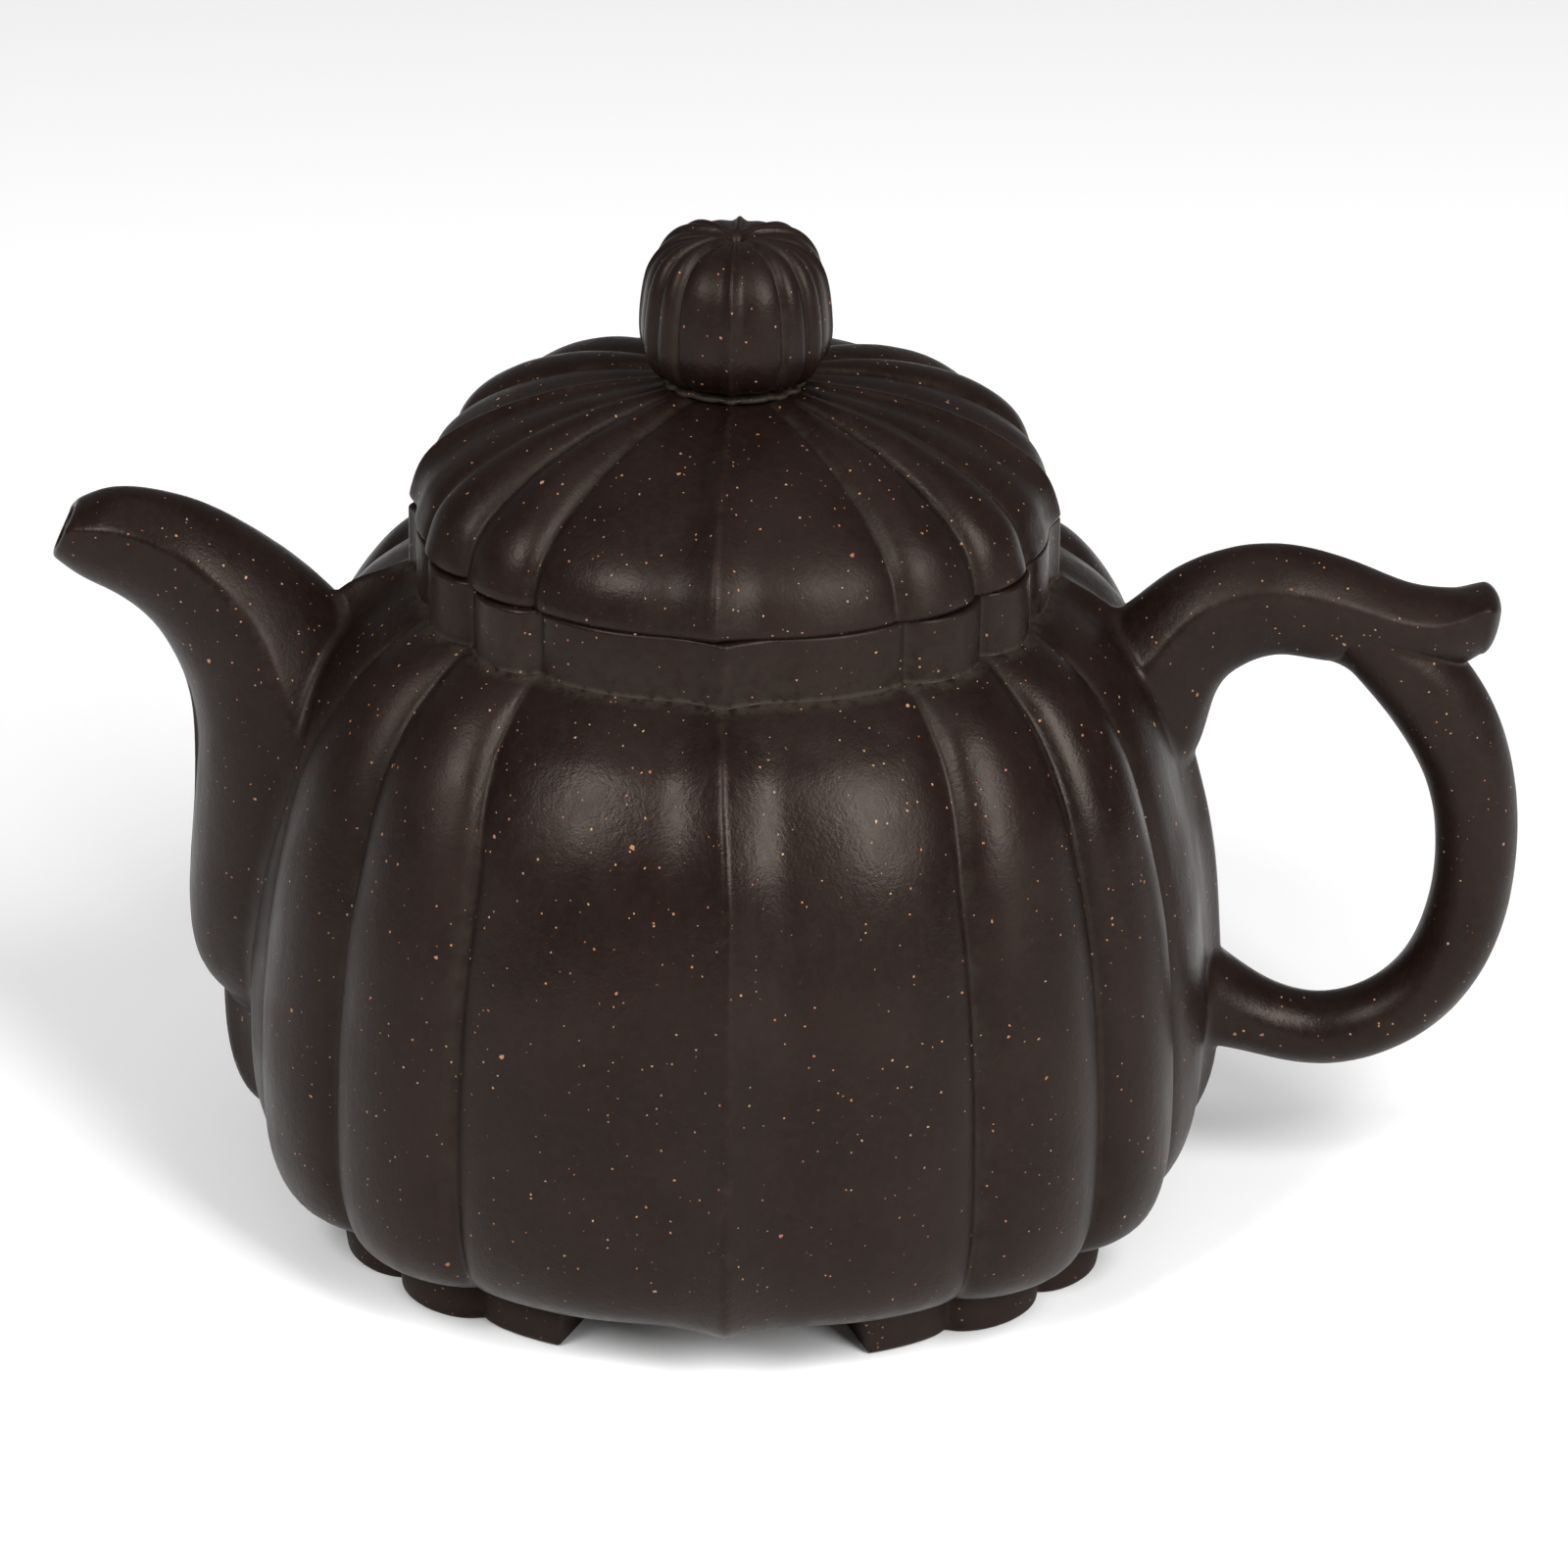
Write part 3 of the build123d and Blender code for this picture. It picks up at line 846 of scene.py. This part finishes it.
def strap_surface(u, share):
    """The strap's arris climbs its section towards the tip."""
    rise = TIP_ARRIS_RISE * smoothstep(0.12, 0.0, share)
    return shield_point(strap_flow(share), u, softness=0.014, arris_share=ARRIS + rise)


def strap_line(u):
    """One line of the strap: from the middle of its rounded tip to the body."""
    station = strap_flow(0.0)
    top, bottom = Vector((station[0], 0, station[1])), Vector((station[2], 0, station[3]))
    middle = bottom.lerp(top, TIP_CENTRE)
    forward = (top - bottom).cross(Vector((0, -1, 0))).normalized()
    edge = strap_surface(u, 0.0)
    tip = []
    for i in range(TIP_ROWS):
        turn = pi / 2 * i / TIP_ROWS
        tip.append(middle + (edge - middle) * sin(turn) + forward * TIP_LENGTH * cos(turn))
    return tip + luted(body_tree, strap_surface, u, 0.0, 0.02, 120, 1.3, 1.7)


strap_lines = [strap_line(i / STRAP_AROUND) for i in range(STRAP_AROUND)]
strap = tube(
    STRAP_AROUND, len(strap_lines[0]),
    lambda u, row: (strap_lines[round(u * STRAP_AROUND) % STRAP_AROUND][row], arris_wear(u)),
)
closed_up(strap)
hand_worked(strap, 0.08, 8.0)
strap_tree = BVHTree.FromBMesh(strap)
finished("handle_top", strap, "pot", "handle_strap", BURNISHED)


def loop_surface(u, share):
    return ring_point(loop_flow, share, u)


def loop_line(u):
    """One line of the loop: from the body, round the ring, to the strap's underside.
    The slip at the top is widest inside the ring."""
    lower = luted(body_tree, loop_surface, u, 0.5, -0.02, 70, 1.3, 1.7)
    inner = (0.5 - 0.5 * cos(2 * pi * u)) ** 2
    lift, foot = 0.5 + 1.9 * inner, 0.7 + 3.6 * inner
    upper = luted(strap_tree, loop_surface, u, 0.5, 0.01, 70, lift, foot)
    return lower[::-1] + upper[1:]


loop_lines = [loop_line(i / LOOP_AROUND) for i in range(LOOP_AROUND)]
loop = tube(
    LOOP_AROUND, len(loop_lines[0]),
    lambda u, row: (loop_lines[round(u * LOOP_AROUND) % LOOP_AROUND][row], 0.0),
)
closed_up(loop)
hand_worked(loop, 0.05, 8.0)
finished("handle_ring", loop, "pot", "handle_loop", BURNISHED)

# ---------------------------------------------------------------- lid
to_lid = Matrix.Rotation(radians(LID_TURN), 3, "Z")
lid_line = line_through(LID_PROFILE, 60)
hollow_line = [
    (radius, HOLLOW_TOP - HOLLOW_RADIUS + sqrt(HOLLOW_RADIUS**2 - radius**2))
    for radius in (VENT_RADIUS, 4, 8, 12, 15, 18, 20, 22, 24, 26, HOLLOW_EDGE[0])
]


def lid_push(radius, height, outward):
    """The petals fade more slowly than the radius towards the knob."""
    return outward * (NECK_RADIUS * (radius / NECK_RADIUS) ** 0.7)


lid_crest = crest_of(lid_line[::-1], lid_push)


def lid_hold(radius, height):
    """1 on the outside of the lid, and 0 in its hollow."""
    point = Vector((radius, height))
    return smoothstep(3.4, 1.4, min((c[0] - point).length for c in lid_crest))


EDGE_STEPS = 6
edge_line = [(37.2, HOLLOW_EDGE[1]), (37.2, LID_BOTTOM)]
for i in range(EDGE_STEPS + 1):
    turn = pi / 2 * i / EDGE_STEPS
    edge_line.append((
        EDGE_CENTRE[0] + EDGE_ROUNDING * sin(turn), EDGE_CENTRE[1] - EDGE_ROUNDING * cos(turn),
    ))
dome = spun(hollow_line + edge_line + lid_line + [(VENT_RADIUS, LID_TOP)])
press_petals(dome, lid_crest, 0.4, lid_hold)
hand_worked(dome, 0.06, 10.0, lambda co: smoothstep(88.6, 91.0, co.z))
bmesh.ops.rotate(dome, cent=(0, 0, 0), matrix=to_lid, verts=dome.verts)
finished("lid_crown", dome, "lid", "lid_dome", BURNISHED)

plate = spun([
    (FLANGE_INSIDE, LID_BOTTOM), (37.1, LID_BOTTOM), (37.1, 89.75), HOLLOW_EDGE, (28.8, 88.8),
])
press_petals(plate, lid_crest, 0.4, lid_hold)
bmesh.ops.rotate(plate, cent=(0, 0, 0), matrix=to_lid, verts=plate.verts)
finished("lid_seat", plate, "lid", "lid_plate", RAW)

flange = spun(
    eased([
        (FLANGE_INSIDE, FLANGE_BOTTOM, 0.8), (FLANGE_OUTSIDE, FLANGE_BOTTOM, 0.8),
        (FLANGE_OUTSIDE, FLANGE_TOP, 0), (FLANGE_INSIDE, FLANGE_TOP, 0),
    ]),
    steps=240,
)
hand_worked(flange, 0.06, 9.0, lambda co: smoothstep(87.5, 85.0, co.z))
finished("lid_inner_ring", flange, "lid", "lid_flange", RAW)

collar_line = [
    (VENT_RADIUS, COLLAR_BOTTOM), (8.7, COLLAR_BOTTOM), (8.95, 104.65), (8.85, 104.95),
    (8.45, 105.15), (8.0, 105.25), (7.6, COLLAR_TOP), (VENT_RADIUS, COLLAR_TOP),
]
collar = spun(collar_line)
collar_crest = [(Vector((8.7, 104.8)), Vector((13.0, 0.0)))]
press_petals(collar, collar_crest, 0.45, lambda radius, height: smoothstep(5.5, 8.0, radius))
mark(collar, "dust", lambda co: 0.8 * smoothstep(7.6, 8.4, hypot(co.x, co.y)))
bmesh.ops.rotate(collar, cent=(0, 0, 0), matrix=to_lid, verts=collar.verts)
finished("knob_foot", collar, "lid", "knob_collar", BURNISHED)

knob_line = line_through(KNOB_PROFILE, 72)


def knob_push(radius, height, outward):
    """Level at the knob's foot, square to its surface above, and fading at the vent."""
    lean = smoothstep(105.5, 108.0, height)
    strength = 15.0 * smoothstep(0.3, 3.2, radius)
    return Vector((1 - lean + lean * outward.x, lean * outward.y)) * strength


knob_crest = crest_of(knob_line, knob_push)
knob = spun([(VENT_RADIUS, 105.2)] + knob_line)
press_petals(knob, knob_crest, 0.24)
hand_worked(knob, 0.05, 6.0)
bmesh.ops.rotate(knob, cent=(0, 0, 0), matrix=to_lid, verts=knob.verts)
finished("knob_ribbed", knob, "lid", "knob", BURNISHED)

# the strainer keeps its CAD shape
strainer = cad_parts["spout_strainer"]
strainer.data.materials.clear()
strainer.data.materials.append(RAW)

# ---------------------------------------------------------------- floor, light and camera
floor_material = bpy.data.materials.new("pale_floor")
floor_material.use_nodes = True
floor_shader = floor_material.node_tree.nodes["Principled BSDF"]
floor_shader.inputs["Base Color"].default_value = (0.93, 0.93, 0.93, 1)
floor_shader.inputs["Roughness"].default_value = 0.9
floor_bm = bmesh.new()
bmesh.ops.create_grid(floor_bm, x_segments=2, y_segments=2, size=6.0)
floor_mesh = bpy.data.meshes.new("floor")
floor_bm.to_mesh(floor_mesh)
floor_bm.free()
floor_mesh.materials.append(floor_material)
floor = bpy.data.objects.new("floor", floor_mesh)
bpy.context.scene.collection.objects.link(floor)


def softbox(name, azimuth, elevation, distance, width, height, power, aim=(0.0, 0.0, 0.06)):
    """A soft panel of light; azimuth runs from the front towards the handle."""
    light = bpy.data.lights.new(name, "AREA")
    light.shape = "RECTANGLE"
    light.size, light.size_y = width, height
    light.energy = power
    lamp = bpy.data.objects.new(name, light)
    bpy.context.scene.collection.objects.link(lamp)
    a, e = radians(azimuth), radians(elevation)
    direction = Vector((sin(a) * cos(e), -cos(a) * cos(e), sin(e)))
    lamp.location = Vector(aim) + direction * distance
    lamp.rotation_euler = direction.to_track_quat("Z", "Y").to_euler()


softbox("left_softbox", -38.0, 41.0, 1.1, 0.34, 0.54, 10.0)
softbox("right_softbox", 40.0, 36.0, 1.1, 0.42, 0.85, 18.0)
softbox("top_panel", 0.0, 88.0, 1.5, 1.2, 1.2, 3.0)

world = bpy.data.worlds.new("studio")
world.use_nodes = True
backdrop = world.node_tree.nodes["Background"]
backdrop.inputs["Color"].default_value = (1.0, 1.0, 1.0, 1.0)
backdrop.inputs["Strength"].default_value = 0.2
bpy.context.scene.world = world
bpy.context.scene.view_settings.view_transform = "Standard"

CAMERA_ELEVATION = 25.5
CAMERA_AZIMUTH = 1.0
CAMERA_ROLL = 0.65
CAMERA_DISTANCE = 0.900
CAMERA_LENS = 173.1
CAMERA_TARGET = Vector((0.0062, 0.0, 0.0521))
camera_data = bpy.data.cameras.new("camera")
camera_data.sensor_width = 36.0
camera_data.lens = CAMERA_LENS
camera = bpy.data.objects.new("camera", camera_data)
bpy.context.scene.collection.objects.link(camera)
bpy.context.scene.camera = camera
azimuth, elevation = radians(CAMERA_AZIMUTH), radians(CAMERA_ELEVATION)
back = Vector((sin(azimuth) * cos(elevation), -cos(azimuth) * cos(elevation), sin(elevation)))
level = Vector((0, 0, 1)).cross(back).normalized()
upright = back.cross(level)
roll = radians(CAMERA_ROLL)
right = level * cos(roll) + upright * sin(roll)
up = upright * cos(roll) - level * sin(roll)
place = Matrix.Translation(CAMERA_TARGET + back * CAMERA_DISTANCE)
camera.matrix_world = place @ Matrix((right, up, back)).transposed().to_4x4()
